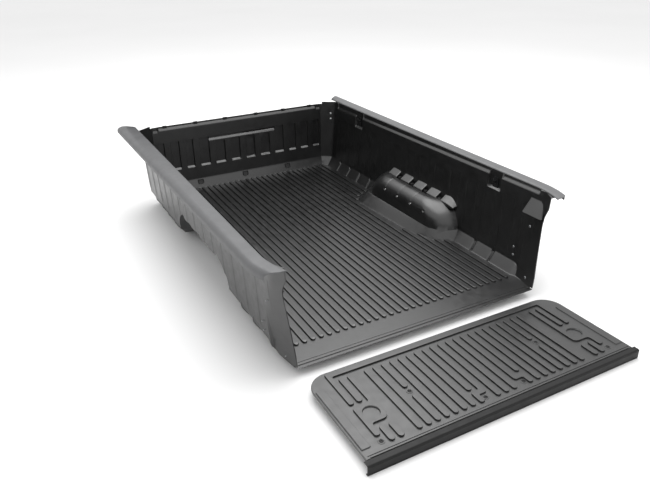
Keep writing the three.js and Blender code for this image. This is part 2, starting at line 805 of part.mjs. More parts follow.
addTubScrews();
for (const [label, side] of SIDES) {
  const [frontX, frontY] = tub.cornerFront;
  const [sideX, sideY] = tub.cornerSide;
  const run = new THREE.Vector3(sideX - frontX, sideY - frontY, 0).normalize();
  const x = CORNER_SCREW_X;
  const y = frontY + ((x - frontX) / (sideX - frontX)) * (sideY - frontY);
  for (const [spot, z] of Object.entries(cornerScrewsZ)) {
    addScrew(`${label}_front_corner_${spot}_screw`, [side * x, y, z], [side * run.y, -run.x, 0], screwHoles);
  }
}
gateScrews.forEach(([x, y], index) => {
  addScrew(`tailgate_screw_${index + 1}`, [x, y, gate.topZ], [0, 0, 1], gateHoles, BLACK_STEEL);
});

place('bed_liner_tub', makeTub(), LINER);
for (const [label, side] of SIDES) {
  place(`rail_cap_${label}`, makeRailCap(side), RAIL);
  place(`rail_tape_${label}`, makeTape(side), TAPE);
  place(`tie_down_hook_${label}_rear`, makeHook(side, notchesY[0]), BLACK_STEEL);
  place(`tie_down_hook_${label}_front`, makeHook(side, notchesY[1]), BLACK_STEEL);
}
for (const [label, x] of floorClipsX) {
  place(`front_anchor_clip_${label}`, makeFloorClip(x), BLACK_STEEL);
}
rimClipsX.forEach((x, index) => {
  place(`front_rim_clip_${index + 1}`, makeRimClip(x), BLACK_STEEL);
});
place('tailgate_liner', makeGatePanel(), GATE);
place('tailgate_edge_cap', makeEdgeCap(), LINER);

export default group;
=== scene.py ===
import math

import bmesh
import bpy
import numpy as np
from mathutils import Matrix, Vector


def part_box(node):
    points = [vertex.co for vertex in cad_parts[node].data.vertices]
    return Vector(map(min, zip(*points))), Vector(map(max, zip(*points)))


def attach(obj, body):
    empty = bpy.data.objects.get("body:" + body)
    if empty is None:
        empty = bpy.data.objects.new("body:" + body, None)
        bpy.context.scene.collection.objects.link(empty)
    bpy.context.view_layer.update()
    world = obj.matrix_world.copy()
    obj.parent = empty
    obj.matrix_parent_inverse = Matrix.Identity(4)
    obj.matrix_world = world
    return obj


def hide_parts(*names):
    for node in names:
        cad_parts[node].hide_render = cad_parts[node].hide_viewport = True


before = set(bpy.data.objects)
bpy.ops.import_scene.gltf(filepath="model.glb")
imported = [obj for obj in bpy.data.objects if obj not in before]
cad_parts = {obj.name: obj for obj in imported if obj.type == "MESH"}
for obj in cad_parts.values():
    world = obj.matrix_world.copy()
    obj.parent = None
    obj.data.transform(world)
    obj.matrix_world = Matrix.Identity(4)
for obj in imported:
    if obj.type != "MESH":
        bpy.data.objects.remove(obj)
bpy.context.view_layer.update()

# A truck bed liner kit: ribbed tub, rail caps, tailgate liner and edge cap, with the small parts that
# hold them. Shapes are in millimetres in the CAD model's axes, and MM turns them into metres.
# x runs across the bed, y towards the cab and z up.

MM = 0.001
SHEET = 4.0
MERGE = 0.02
SLIVER = 0.01

# ---- Driving dimensions ----

TUB = {
    "rear": -1145.0, "front": 1149.0, "floor_z": 4.0, "kick_z": 64.0, "kick_half": 722.0,
    "ledge_z": 478.0, "ledge_rear": 481.0, "ledge_front": 460.0, "ledge_half": 744.0, "shelf": 11.5,
    "rim_z": 505.0, "flange": 782.0, "front_rim_z": 489.0, "front_rim_half": 664.0,
    "kick_end": -985.0, "front_kick_reach": 29.0, "front_kick_top": 70.0,
}
# The apron behind the ribs steps down a little near its rear edge, with a fine line ahead of the step.
APRON = {"half": 690.0, "step": -1126.0, "low_z": 1.2, "line_half": 660.0, "line_rear": -1112.0,
         "line_front": -1107.0, "line_z": 2.4, "open_z": 8.0}
CORNER_FRONT = (652.0, 1149.0)
CORNER_SIDE = (751.0, 1082.0)
CORNER_START = CORNER_SIDE[1] - 15
CORNER_BLEND = 10.0
POST = {"foot_start": 703.0, "top_start": 758.0, "foot_end": 672.0, "top_end": 712.0, "top_y": -1060.0}
POST_BLEND = 6.0
LEDGES = [(-1036, -772), (-665, 665), (771, 1032)]
LEDGE_SLOPE = 6
NOTCHES = [-717, 720]
NOTCH = {"half": 47.0, "low": 402.0, "rise": 13, "slope": 4}
KICK_GROOVES = [-790, -640, 512, 655, 800, 945]
GROOVE_CUT = {"half": 3, "slope": 4}
GROOVE_DIP = {"half": 8, "slope": 9, "drop": 15}
KICK_END = {"fade": 26, "run": 34, "drop": 14}
PANEL = {"pitch": 150.0, "depth": 3.0, "shift": 20, "start": 35, "end": 115, "slope": 9,
         "low": 110, "high": 385, "fade": 30}

RIB = {"count": 31, "pitch": 43.0, "half": 12.3, "top": 13.0, "rear": -994.0, "front": 1128.0}
ARCH = {"inner": 581.0, "rear": -480.0, "front": 386.0, "wall": 760.0, "reach": 150.0}
BLOCK = {"count": 5, "front": 244.0, "pitch": 142.0, "length": 97.0, "top": 237.0}
POCKETS = [(23, 94), (139, 215), (258, 330), (376, 433), (476, 537), (582, 635)]
POCKET_LOW = 163.0
POCKET_TOP = 372.0
SHELF_HALF = 258.0
SHELF_LOW = 341.0
BACKING_LAP = 0.7

CAP = {"front": 1165.0, "nose": 70.0, "rear": -1185.0, "turn": -1000.0, "turn_in": 40.0, "taper": 0.0145}
GATE = {"near": -1231.0, "far": -1735.0, "half": 690.0, "top": 5.0, "skirt": 10.0, "corner": 95.0}
GATE_RIB = {"count": 21, "pitch": 42.8, "half": 12.5, "near": -1296.0, "far": -1701.0, "height": 7.5}
GATE_SCREWS = [(-344, -1503), (344, -1503), (-595, -1684), (595, -1684), (-101, -1681), (101, -1681)]
SCREW_PAD = {"half_x": 24, "half_y": 16}
DISH = {"x": 547, "y": -1537}
EDGE = {"half": 702.0, "near": -1737.0, "far": -1765.0, "bottom": -41.0, "top": 5.0}

SIDES = (("right", 1), ("left", -1))


# ---- Small maths ----

def mix(a, b, share):
    return a + (b - a) * share


def clamp(value, low=0.0, high=1.0):
    return max(low, min(high, value))


def smooth(share):
    share = clamp(share)
    return share * share * (3 - 2 * share)


def plateau(value, low, high, slope):
    """1 between low and high, falling to 0 over slope on both sides."""
    return smooth(min((value - low) / slope + 1, (high - value) / slope + 1))


def soft_min(a, b, blend):
    share = clamp(0.5 + 0.5 * (b - a) / blend)
    return mix(b, a, share) - blend * share * (1 - share)


def fillet(points, radius, steps=3):
    """A closed outline with each corner replaced by a small arc. radius is one number or one per point."""
    radii = radius if isinstance(radius, (list, tuple)) else [radius] * len(points)
    out = []
    count = len(points)
    for index in range(count):
        here = Vector(points[index])
        before = Vector(points[index - 1]) - here
        after = Vector(points[(index + 1) % count]) - here
        reach = min(radii[index], 0.49 * before.length, 0.49 * after.length)
        if reach < 0.05:
            out.append(tuple(here))
            continue
        start = here + before.normalized() * reach
        end = here + after.normalized() * reach
        for step in range(steps + 1):
            share = step / steps
            point = start * (1 - share) ** 2 + here * 2 * share * (1 - share) + end * share ** 2
            out.append(tuple(point))
    return out


def inset_outline(points, inset):
    """A closed counter-clockwise outline moved inwards by inset."""
    out = []
    count = len(points)
    for index in range(count):
        a, b, c = (Vector(points[(index + k) % count]) for k in (-1, 0, 1))
        one = b - a
        two = c - b
        one = one.normalized() if one.length > 1e-9 else two.normalized()
        two = two.normalized() if two.length > 1e-9 else one
        normal = Vector((-(one.y + two.y), one.x + two.x))
        normal = normal.normalized() / max(0.5, math.sqrt(max(0.0, (1 + one.dot(two)) / 2)))
        out.append(tuple(b + normal * inset))
    return out


# ---- Solids ----

def build(bm, name="solid"):
    bmesh.ops.recalc_face_normals(bm, faces=bm.faces)
    mesh = bpy.data.meshes.new(name)
    bm.to_mesh(mesh)
    bm.free()
    made = bpy.data.objects.new(name, mesh)
    bpy.context.scene.collection.objects.link(made)
    return made


def add_loft(bm, rings):
    rows = [[bm.verts.new([c * MM for c in point]) for point in ring] for ring in rings]
    count = len(rings[0])
    for near, far in zip(rows, rows[1:]):
        for i in range(count):
            j = (i + 1) % count
            bm.faces.new((near[i], near[j], far[j], far[i]))
    bm.faces.new(rows[0][::-1])
    bm.faces.new(rows[-1])


def loft(*ring_lists):
    """One object holding a closed solid for each list of rings."""
    bm = bmesh.new()
    for rings in ring_lists:
        add_loft(bm, rings)
    return build(bm)


def wound(outline):
    """The outline running counter-clockwise."""
    area = sum(p[0] * q[1] - q[0] * p[1] for p, q in zip(outline, outline[1:] + outline[:1]))
    return outline if area > 0 else outline[::-1]


def bar(low, high, radius=2.0, axis=2):
    """Rings of a box with its long edges and ends rounded, run along an axis."""
    a, b = [i for i in range(3) if i != axis]
    outline = fillet([(low[a], low[b]), (high[a], low[b]), (high[a], high[b]), (low[a], high[b])], radius)
    return prism(outline, low[axis], high[axis], radius, axis)


def prism(outline, low, high, radius=0.0, axis=2):
    """Rings of an outline run along an axis, with rounded rims."""
    a, b = [i for i in range(3) if i != axis]
    outline = wound(outline)
    stations = [(low, 0.0), (high, 0.0)]
    if radius:
        stations = [(low, radius), (low + 0.3 * radius, 0.3 * radius), (low + radius, 0.0),
                    (high - radius, 0.0), (high - 0.3 * radius, 0.3 * radius), (high, radius)]
    rings = []
    for place, inset in stations:
        ring = []
        for p in inset_outline(outline, inset) if inset else outline:
            point = [0.0, 0.0, 0.0]
            point[a], point[b], point[axis] = p[0], p[1], place
            ring.append(tuple(point))
        rings.append(ring)
    return rings


def disc(x, y, radius, sides=28):
    return [(x + radius * math.cos(2 * math.pi * i / sides), y + radius * math.sin(2 * math.pi * i / sides))
            for i in range(sides)]


def capsule(start, end, half, steps=6):
    """A plan outline round a straight stretch, with half-round ends."""
    start, end = Vector(start), Vector(end)
    along = (end - start).normalized()
    angle = math.atan2(along.y, along.x)
    out = []
    for centre, turn in ((end, -90), (start, 90)):
        for step in range(steps + 1):
            a = angle + math.radians(turn + 180 * step / steps)
            out.append((centre.x + half * math.cos(a), centre.y + half * math.sin(a)))
    return out


def tube(path, radius, sides=12):
    """Rings of a round bar along a path; radius is one number or one per point."""
    radii = radius if isinstance(radius, (list, tuple)) else [radius] * len(path)
    points = [Vector(p) for p in path]
    rings = []
    across = None
    for index, point in enumerate(points):
        before = points[max(0, index - 1)]
        after = points[min(len(points) - 1, index + 1)]
        along = (after - before).normalized()
        if across is None:
            across = along.orthogonal().normalized()
        across = (across - along * across.dot(along)).normalized()
        other = along.cross(across)
        rings.append([tuple(point + (across * math.cos(2 * math.pi * k / sides)
                                     + other * math.sin(2 * math.pi * k / sides)) * radii[index])
                      for k in range(sides)])
    return rings


def ball(centre, radii, sides=16, rows=8):
    rings = []
    for row in range(1, rows):
        tilt = math.pi * row / rows - math.pi / 2
        rings.append([(centre[0] + radii[0] * math.cos(tilt) * math.cos(2 * math.pi * k / sides),
                       centre[1] + radii[1] * math.cos(tilt) * math.sin(2 * math.pi * k / sides),
                       centre[2] + radii[2] * math.sin(tilt)) for k in range(sides)])
    return rings


def flip(rings, side):
    return [[(p[0] * side, p[1], p[2]) for p in ring] for ring in rings]


def combine(target, tool, operation):
    """Joins or cuts target with tool, and removes tool."""
    modifier = target.modifiers.new("join", "BOOLEAN")
    modifier.operation = operation
    modifier.solver = "MANIFOLD"
    modifier.object = tool
    graph = bpy.context.evaluated_depsgraph_get()
    mesh = bpy.data.meshes.new_from_object(target.evaluated_get(graph))
    old, used = target.data, tool.data
    target.modifiers.clear()
    target.data = mesh
    bpy.data.objects.remove(tool)
    bpy.data.meshes.remove(old)
    bpy.data.meshes.remove(used)
    return target


def add(target, *ring_lists):
    return combine(target, loft(*ring_lists), "UNION")


def cut(target, *ring_lists):
    return combine(target, loft(*ring_lists), "DIFFERENCE")


def settle(piece, name, material, body, replaces, sharp=32.0):
    """Cleans a finished mesh, shades it, and hands it to its CAD body."""
    bm = bmesh.new()
    bm.from_mesh(piece.data)
    bmesh.ops.remove_doubles(bm, verts=bm.verts, dist=MERGE * MM)
    bmesh.ops.dissolve_degenerate(bm, edges=bm.edges, dist=SLIVER * MM)
    bm.to_mesh(piece.data)
    bm.free()
    piece.name = name
    piece.data.name = name
    piece.data.materials.clear()
    piece.data.materials.append(material)
    piece.data.shade_smooth()
    piece.data.set_sharp_from_angle(angle=math.radians(sharp))
    weighted = piece.modifiers.new("weighted_normals", "WEIGHTED_NORMAL")
    weighted.keep_sharp = True
    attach(piece, body)
    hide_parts(*replaces)


# ---- Materials ----

def nodes_of(name):
    material = bpy.data.materials.new(name)
    material.use_nodes = True
    tree = material.node_tree
    return material, tree, tree.nodes["Principled BSDF"]


def grey(level):
    return (level, level, level)


def noise(tree, scale, detail=3.0, stretch=(1, 1, 1), roughness=0.55):
    where = tree.nodes.new("ShaderNodeTexCoord")
    mapping = tree.nodes.new("ShaderNodeMapping")
    mapping.inputs["Scale"].default_value = stretch
    texture = tree.nodes.new("ShaderNodeTexNoise")
    for socket, value in (("Scale", scale), ("Detail", detail), ("Roughness", roughness)):
        texture.inputs[socket].default_value = value
    tree.links.new(where.outputs["Object"], mapping.inputs["Vector"])
    tree.links.new(mapping.outputs["Vector"], texture.inputs["Vector"])
    return texture.outputs["Fac"]


def ramp(tree, source, stops):
    node = tree.nodes.new("ShaderNodeValToRGB")
    for element, (place, colour) in zip(node.color_ramp.elements, (stops[0], stops[-1])):
        element.position = place
        element.color = (*colour, 1)
    for place, colour in stops[1:-1]:
        node.color_ramp.elements.new(place).color = (*colour, 1)
    tree.links.new(source, node.inputs["Fac"])
    return node.outputs["Color"]


def span(tree, source, low, high, from_low=0.3, from_high=0.7):
    node = tree.nodes.new("ShaderNodeMapRange")
    for socket, value in (("From Min", from_low), ("From Max", from_high), ("To Min", low), ("To Max", high)):
        node.inputs[socket].default_value = value
    tree.links.new(source, node.inputs["Value"])
    return node.outputs["Result"]


def bump(tree, source, strength, distance, before=None):
    node = tree.nodes.new("ShaderNodeBump")
    node.inputs["Strength"].default_value = strength
    node.inputs["Distance"].default_value = distance
    tree.links.new(source, node.inputs["Height"])
    if before is not None:
        tree.links.new(before, node.inputs["Normal"])
    return node.outputs["Normal"]


def moulded_plastic(name, dark, light, rough, grain, grain_depth, specular, scuffs=True):
    """Vacuum-formed sheet: fine grain of the given size in millimetres, a slight mottle and light scuffs."""
    material, tree, shader = nodes_of(name)
    mottle = noise(tree, 9.0, 4.0)
    colour = ramp(tree, mottle, [(0.3, dark), (0.7, light)])
    tree.links.new(colour, shader.inputs["Base Color"])
    patch = noise(tree, 24.0, 5.0)
    tree.links.new(span(tree, patch, rough - 0.05, rough + 0.06), shader.inputs["Roughness"])
    shader.inputs["Specular IOR Level"].default_value = specular
    fine = noise(tree, 1.0 / (grain * MM), 2.0)
    normal = bump(tree, fine, strength=0.15, distance=grain_depth * MM)
    if scuffs:
        streak = noise(tree, 60.0, 3.0, stretch=(6.0, 0.35, 2.0), roughness=0.7)
        marks = ramp(tree, streak, [(0.62, grey(0)), (0.75, grey(1))])
        normal = bump(tree, marks, strength=0.08, distance=0.2 * MM, before=normal)
    tree.links.new(normal, shader.inputs["Normal"])
    return material


def metal(name, colour, rough):
    material, tree, shader = nodes_of(name)
    shader.inputs["Metallic"].default_value = 1.0
    tint = noise(tree, 140.0, 3.0)
    low = tuple(c * 0.8 for c in colour)
    tree.links.new(ramp(tree, tint, [(0.3, low), (0.7, colour)]), shader.inputs["Base Color"])
    lines = noise(tree, 900.0, 2.0)
    tree.links.new(span(tree, lines, rough - 0.07, rough + 0.1), shader.inputs["Roughness"])
    tree.links.new(bump(tree, lines, 0.15, 0.05 * MM), shader.inputs["Normal"])
    return material


def coated_steel(name, dark, light, rough):
    material, tree, shader = nodes_of(name)
    shader.inputs["Metallic"].default_value = 0.2
    tint = noise(tree, 220.0, 4.0)
    tree.links.new(ramp(tree, tint, [(0.35, dark), (0.68, light)]), shader.inputs["Base Color"])
    tree.links.new(span(tree, tint, rough - 0.08, rough + 0.12), shader.inputs["Roughness"])
    tree.links.new(bump(tree, noise(tree, 2400.0, 2.0), 0.2, 0.05 * MM), shader.inputs["Normal"])
    return material


def foam_tape(name):
    material, tree, shader = nodes_of(name)
    cells = noise(tree, 1300.0, 4.0, roughness=0.7)
    tree.links.new(ramp(tree, cells, [(0.3, grey(0.006)), (0.7, grey(0.03))]),
                   shader.inputs["Base Color"])
    tree.links.new(span(tree, cells, 0.85, 1.0), shader.inputs["Roughness"])
    tree.links.new(bump(tree, cells, 0.8, 0.3 * MM), shader.inputs["Normal"])
    return material


LINER = moulded_plastic(
    "liner_sheet", dark=(0.003, 0.0031, 0.0032), light=(0.005, 0.0051, 0.0052),
    rough=0.33, grain=1.6, grain_depth=0.3, specular=1.0)
GATE_SHEET = moulded_plastic(
    "tailgate_sheet", dark=(0.004, 0.0041, 0.0042), light=(0.006, 0.0061, 0.0062),
    rough=0.35, grain=1.6, grain_depth=0.3, specular=1.0)
# The edge cap's rougher finish is its own; its darker colour and weak reflection are painted shade, for the
# shadowed ground that its upright face reflects.
EDGE_SHEET_PAINTED_SHADE = moulded_plastic(
    "edge_sheet_painted_shade", dark=(0.002, 0.002, 0.0021), light=(0.003, 0.003, 0.0031),
    rough=0.45, grain=1.6, grain_depth=0.3, specular=0.3)
# The rail caps' lighter grey, against the liner sheet's near-black, is painted light for the light that falls
# on their tops.
RAIL_PAINTED_LIGHT = moulded_plastic(
    "rail_sheet_painted_light", dark=(0.06, 0.061, 0.063), light=(0.076, 0.077, 0.08),
    rough=0.5, grain=2.0, grain_depth=0.4, specular=0.8, scuffs=False)
STEEL = metal("plated_steel", colour=(0.5, 0.51, 0.52), rough=0.3)
BLACK_STEEL = coated_steel(
    "black_steel", dark=(0.004, 0.004, 0.0042), light=(0.009, 0.009, 0.0095), rough=0.45)
TAPE = foam_tape("foam_tape")


# ---- Tub ----

def wall_half(z):
    share = (z - TUB["kick_z"]) / (TUB["ledge_z"] - TUB["kick_z"])
    return TUB["kick_half"] + share * (TUB["ledge_half"] - TUB["kick_half"])


# Sections of the side kick, of a groove in it and of the foot past its end, as (x, z).
KICK = [(680, 4), (683, 5.6), (686, 9.5), (716.5, 57), (720, 62.5), (722.2, 65), (723.5, 72)]
KICK_GROOVE = [(689, 4), (693, 6), (697, 11), (722.5, 53), (724.5, 57), (725.5, 62), (725.5, 72)]
FOOT = [(692, 4), (695, 5), (698, 7), (711, 21), (713.5, 25), (716, 34), (720.5, 46)]
WALL_LEVELS = [84, 92, 100, 120, 160, 200, 250, 300, 350, 385, 399, 402, 404.5, 411, 414.5, 418, 428,
               440, 452, 464, 473]


def ledge_drop(y, z):
    """The ledge and the notches below it sink a little towards the cab."""
    still, run = 300, 92
    share = (y - TUB["rear"]) / (TUB["front"] - TUB["rear"])
    return (mix(TUB["ledge_rear"], TUB["ledge_front"], share) - TUB["ledge_z"]) * clamp((z - still) / run)


def post_half(y, z, grow):
    share = clamp((z - TUB["floor_z"]) / (TUB["rim_z"] - TUB["floor_z"]))
    start_x = mix(POST["foot_start"], POST["top_start"], share) + grow
    start_y = mix(TUB["kick_end"], POST["top_y"], share)
    end_x = mix(POST["foot_end"], POST["top_end"], share) + grow
    return start_x - (start_x - end_x) * (start_y - y) / (start_y - TUB["rear"])


def corner_half(y, grow):
    ax, ay = CORNER_FRONT[0] + grow / 2, CORNER_FRONT[1] + grow
    bx, by = CORNER_SIDE[0] + grow, CORNER_SIDE[1] + grow / 2
    return bx + (y - by) * (ax - bx) / (ay - by)


def bands(y, middles, shape):
    """1 within half of any of the middles, falling to 0 over the slope."""
    return max(plateau(y, m - shape["half"], m + shape["half"], shape["slope"]) for m in middles)


def side_profile(y):
    """Half of the inner section at y, from the floor's edge up to the rim."""
    kick = smooth((y - TUB["kick_end"]) / KICK_END["fade"] + 0.5)
    groove = bands(y, KICK_GROOVES, GROOVE_CUT)
    dip = bands(y, KICK_GROOVES, GROOVE_DIP)
    end_drop = smooth((TUB["kick_end"] + KICK_END["run"] - y) / KICK_END["run"])
    drop = GROOVE_DIP["drop"] * dip * (1 - groove) + KICK_END["drop"] * end_drop
    points = []
    for index, (k, g, f) in enumerate(zip(KICK, KICK_GROOVE, FOOT)):
        lower = drop * min(1.0, (index - 2) / 2) if index > 2 else 0.0
        x = mix(k[0], g[0], groove)
        z = mix(k[1], g[1], groove) - lower
        points.append((mix(f[0], x, kick), mix(f[1], z, kick)))
    panel = plateau((y + PANEL["shift"]) % PANEL["pitch"], PANEL["start"], PANEL["end"], PANEL["slope"])
    notch = bands(y, NOTCHES, NOTCH)
    deep = TUB["ledge_half"] + TUB["shelf"]
    for z in WALL_LEVELS:
        recess = PANEL["depth"] * panel * plateau(z, PANEL["low"], PANEL["high"], PANEL["fade"])
        deeper = notch * clamp((z - NOTCH["low"]) / NOTCH["rise"]) * (deep - wall_half(z))
        points.append((wall_half(z) + max(recess, deeper), z + ledge_drop(y, z)))
    shelf = max(max(plateau(y, a, b, LEDGE_SLOPE) for a, b in LEDGES), notch)
    lip = mix(TUB["ledge_half"], deep, notch)
    back = mix(TUB["ledge_half"] + 2.5, deep, shelf)
    z = TUB["ledge_z"] + ledge_drop(y, TUB["ledge_z"])
    run = back - lip
    points += [(lip + 0.02 * run, z - 2), (lip + 0.12 * run, z + 0.4), (lip + 0.28 * run, z + 2.6),
               (back - 0.16 * run, z + 10.4), (back - 0.04 * run, z + 12.6), (back + 0.4, z + 16),
               (back + 0.6, 500), (back + 1.4, 503.6), (back + 3.4, TUB["rim_z"])]
    return points


def limited(points, y, grow):
    """The profile drawn in where the rear post and the front corner cut across it."""
    out = []
    for x, z in points:
        x = soft_min(x, post_half(y, z, grow), POST_BLEND) if y < TUB["kick_end"] else x
        x = soft_min(x, corner_half(y, grow), CORNER_BLEND) if y > CORNER_START else x
        out.append((x, z))
    return out


def offset_profile(points, distance):
    out = []
    for index, (x, z) in enumerate(points):
        ax, az = points[max(0, index - 1)]
        bx, bz = points[min(len(points) - 1, index + 1)]
        length = max(1e-6, math.hypot(bx - ax, bz - az))
        out.append((x + distance * (bz - az) / length, z - distance * (bx - ax) / length))
    out[0] = (points[0][0], points[0][1] - distance)
    return out


def tub_stations():
    """Where along the bed the section is taken, closer together where it changes."""
    closest = 0.8
    marks = {TUB["rear"], *range(-1132, -1005, 14), -1002, -994, -985, -976, -968, -960, -951,
             *range(1067, 1088, 5), 1093, *range(1100, 1131, 15), TUB["front"]}
    for g in KICK_GROOVES:
        marks |= {g + s * d for s in (-1, 1) for d in (1.5, 3, 5, 7, 11, 17)}
    for n in NOTCHES:
        edges = (0, NOTCH["slope"] / 2, NOTCH["slope"])
        marks |= {n + s * (NOTCH["half"] + d) for s in (-1, 1) for d in edges} | {n}
    for pair in LEDGES:
        marks |= {y + share * LEDGE_SLOPE for y in pair for share in (-1, -0.5, 0, 0.5, 1)}
    start, end, slope = PANEL["start"], PANEL["end"], PANEL["slope"]
    steps = (start - slope, start - slope / 2, start, (start + end) / 2, end, end + slope / 2, end + slope)
    low = math.floor(TUB["rear"] / PANEL["pitch"]) * PANEL["pitch"] - PANEL["shift"]
    while low < TUB["front"]:
        marks |= {low + step for step in steps}
        low += PANEL["pitch"]
    kept = []
    for y in sorted(m for m in marks if TUB["rear"] <= m <= TUB["front"]):
        if not kept or y - kept[-1] > closest or y == TUB["front"]:
            kept.append(y)
    return kept


# What is cut from the rear edge of each side wall, which steps back below the rail, as (y, z).
REAR_EDGE = fillet([(-1150, 16), (-1117, 345), (-1120, 392), (-1141, 436), (-1150, 446), (-1300, 446),
                    (-1300, 16)], [0, 12, 20, 8, 0, 0, 0])


def both_sides(half):
    return half + [(-x, z) for x, z in reversed(half)]


def space_rings():
    """The load space, run out past the rear and up past the rim."""
    past_rear, open_top = 60, 820.0
    rings = []
    for y in [TUB["rear"] - past_rear] + tub_stations():
        at = max(y, TUB["rear"])
        half = limited(side_profile(at), at, 0.0)
        half.append((half[-1][0], open_top))
        rings.append([(x, y, z) for x, z in both_sides(half)])
    return rings


def shell_rings():
    """The tub's outside, with its rail flanges, filled solid."""
    rings = []
    for y in tub_stations() + [TUB["front"] + SHEET]:
        inner = side_profile(min(y, TUB["front"]))
        half = limited(offset_profile(inner[:-2], SHEET), y, SHEET)
        half = [(x, min(z, TUB["rim_z"] - SHEET)) for x, z in half]
        edge = TUB["flange"]
        if y > CORNER_START:
            edge = soft_min(edge, corner_half(y, SHEET) + 2, CORNER_BLEND)
        edge = max(edge, half[-1][0] + 0.5)
        half += [(edge, TUB["rim_z"] - SHEET), (edge, TUB["rim_z"])]
        rings.append([(x, y, z) for x, z in both_sides(half)])
    return rings


def rib_rings(x, sheet=0.0, rear=RIB["rear"], front=RIB["front"]):
    """One floor rib with half-round, softly dropping ends. sheet > 0 gives the hollow below it."""
    half = RIB["half"] - sheet
    rear, front = rear + sheet, front - (28 if sheet else 0)
    base = -1.0 if sheet else TUB["floor_z"] - 1.5
    top = RIB["top"] - sheet
    shape = [(1.05, 0.0), (1.0, 0.28), (0.95, 0.72), (0.87, 0.92), (0.72, 1.0)]
    rings = []
    ends = [0.04, 0.16, 0.4, 0.75, 1.0]
    places = [(e, rear + e * half) for e in ends] + [(e, front - e * half) for e in reversed(ends)]
    for share, place in places:
        wide = half * math.sqrt(max(0.0, 1 - (1 - share) ** 2))
        high = (top - base) * mix(0.72, 1.0, min(1.0, share * 1.6))
        ring = [(wide * a, base + high * b) for a, b in shape]
        ring += [(-p, q) for p, q in reversed(ring)]
        rings.append([(x + p, place, q) for p, q in ring])
    return rings


# Wheel arch loops: height, inset from the side, inset from the ends.
ARCH_LEVELS = [(-30, -1, -2), (40, 0, 0), (90, 1, 6), (118, 3, 16), (134, 5.5, 26), (148, 9, 36),
               (160, 13.5, 47), (171, 19.5, 58), (181, 27, 70), (190, 36.5, 82), (197.5, 48, 95),
               (203.5, 61, 108), (207, 74, 120), (208.5, 86, 130), (207.8, 96, 138), (204, 104, 144),
               (198.5, 109, 149), (195, 113, 153)]


def arch_rings(grow=0.0):
    """The wheel arch in plan loops with quarter-ellipse ends, over its crest and into the valley behind."""
    rings = []
    steps = 14
    for z, inset_x, inset_y in ARCH_LEVELS:
        inner = ARCH["inner"] + inset_x + grow
        rear, front = ARCH["rear"] + inset_y + grow, ARCH["front"] - inset_y - grow
        curve = []
        for step in range(steps + 1):
            turn = (step / steps) * (math.pi / 2)
            x = inner + (ARCH["wall"] - inner) * (1 - math.cos(turn)) if step else inner
            curve.append((x, ARCH["reach"] * (1 - math.sin(turn))))
        tail = [(x, rear + dip) for x, dip in curve]
        nose = [(x, front - dip) for x, dip in curve]
        height = z - grow if z > 0 else z
        rings.append([(x, y, height) for x, y in tail[::-1] + nose])
    return rings


def arch_groove(y):
    """The shallow groove over the arch between two blocks, and the round dimple at its lower end."""
    radius, depth = 9.0, 2.2
    skin = [Vector((ARCH["inner"] + inset, z)) for z, inset, _ in ARCH_LEVELS[5:14]]
    path = []
    for index in range(1, len(skin) - 1):
        along = (skin[index + 1] - skin[index - 1]).normalized()
        out = Vector((-along.y, along.x))
        spot = skin[index] + out * (radius - depth)
        path.append((spot.x, y, spot.y))
    along = (skin[2] - skin[0]).normalized()
    dimple = skin[0] + Vector((-along.y, along.x)) * 5.0
    sizes = [radius * 0.8] + [radius] * (len(path) - 1)
    return [tube(path, sizes, 14), ball((dimple.x, y, dimple.y), (10.5, 14, 12))]


# The arch foot's edge in plan, at the floor and at the arch.
FOOT_LOW = [(760, -534), (665, -490), (600, -442), (560, -397), (537, -295), (523, -158), (512, 57),
            (502, 270), (512, 336), (556, 396), (640, 442), (760, 464)]
FOOT_HIGH = [(760, -496), (664, -452), (601, -402), (580, -345), (578, -280), (578, -158), (577, 57),
             (577, 250), (583, 316), (602, 352), (664, 398), (760, 412)]


def foot_rings(grow=0.0):
    """The sloping foot round a wheel arch; grow makes it smaller, for its underside."""
    side, ends = grow * 0.6, 1 - grow / 500
    low = [(x + side, y * ends) for x, y in FOOT_LOW]
    high = [(x + side, y * ends) for x, y in FOOT_HIGH]
    top = TUB["kick_z"] - grow
    floor = TUB["floor_z"] - grow * 0.6
    below = -30.0
    rings = [[(x, y, below) for x, y in low], [(x, y, floor - 1) for x, y in low]]
    for share, rise in ((0.05, 0.02), (0.14, 0.1), (0.55, 0.55), (0.92, 0.94), (1.0, 1.0)):
        rings.append([(mix(a[0], b[0], share), mix(a[1], b[1], share), mix(floor, top, rise))
                      for a, b in zip(low, high)])
    return rings


def gap_middles():
    return [BLOCK["front"] - BLOCK["length"] - (BLOCK["pitch"] - BLOCK["length"]) / 2 - index * BLOCK["pitch"]
            for index in range(BLOCK["count"] - 1)]


def block_rings(index):
    """One of the blocks between the arch's crest and the wall; the last one runs out towards the rear."""
    half = BLOCK["length"] / 2
    middle = BLOCK["front"] - index * BLOCK["pitch"] - half
    base, wall = 185, 770
    shape = fillet([(690, base), (691, 205), (694, 209), (736, BLOCK["top"] + 2), (wall, BLOCK["top"] + 3),
                    (wall, base)], [0, 2, 2, 5, 0, 0])
    rear_end = [(-half, 0.84), (-half + 1.5, 0.93), (-half + 4, 0.98), (-half + 8, 1.0)]
    if index == BLOCK["count"] - 1:
        rear_end = [(-half - 16, 0.3), (-half - 6, 0.5), (-half + 10, 0.74), (-half + 26, 0.9),
                    (-half + 44, 1.0)]
    front_end = [(half - 8, 1.0), (half - 4, 0.98), (half - 1.5, 0.93), (half, 0.84)]
    rings = []
    for place, size in rear_end + front_end:
        reach = mix(size, 1.0, 0.75)
        rings.append([(mix(wall, x, reach), middle + place, mix(base, z, size)) for x, z in shape])
    return rings


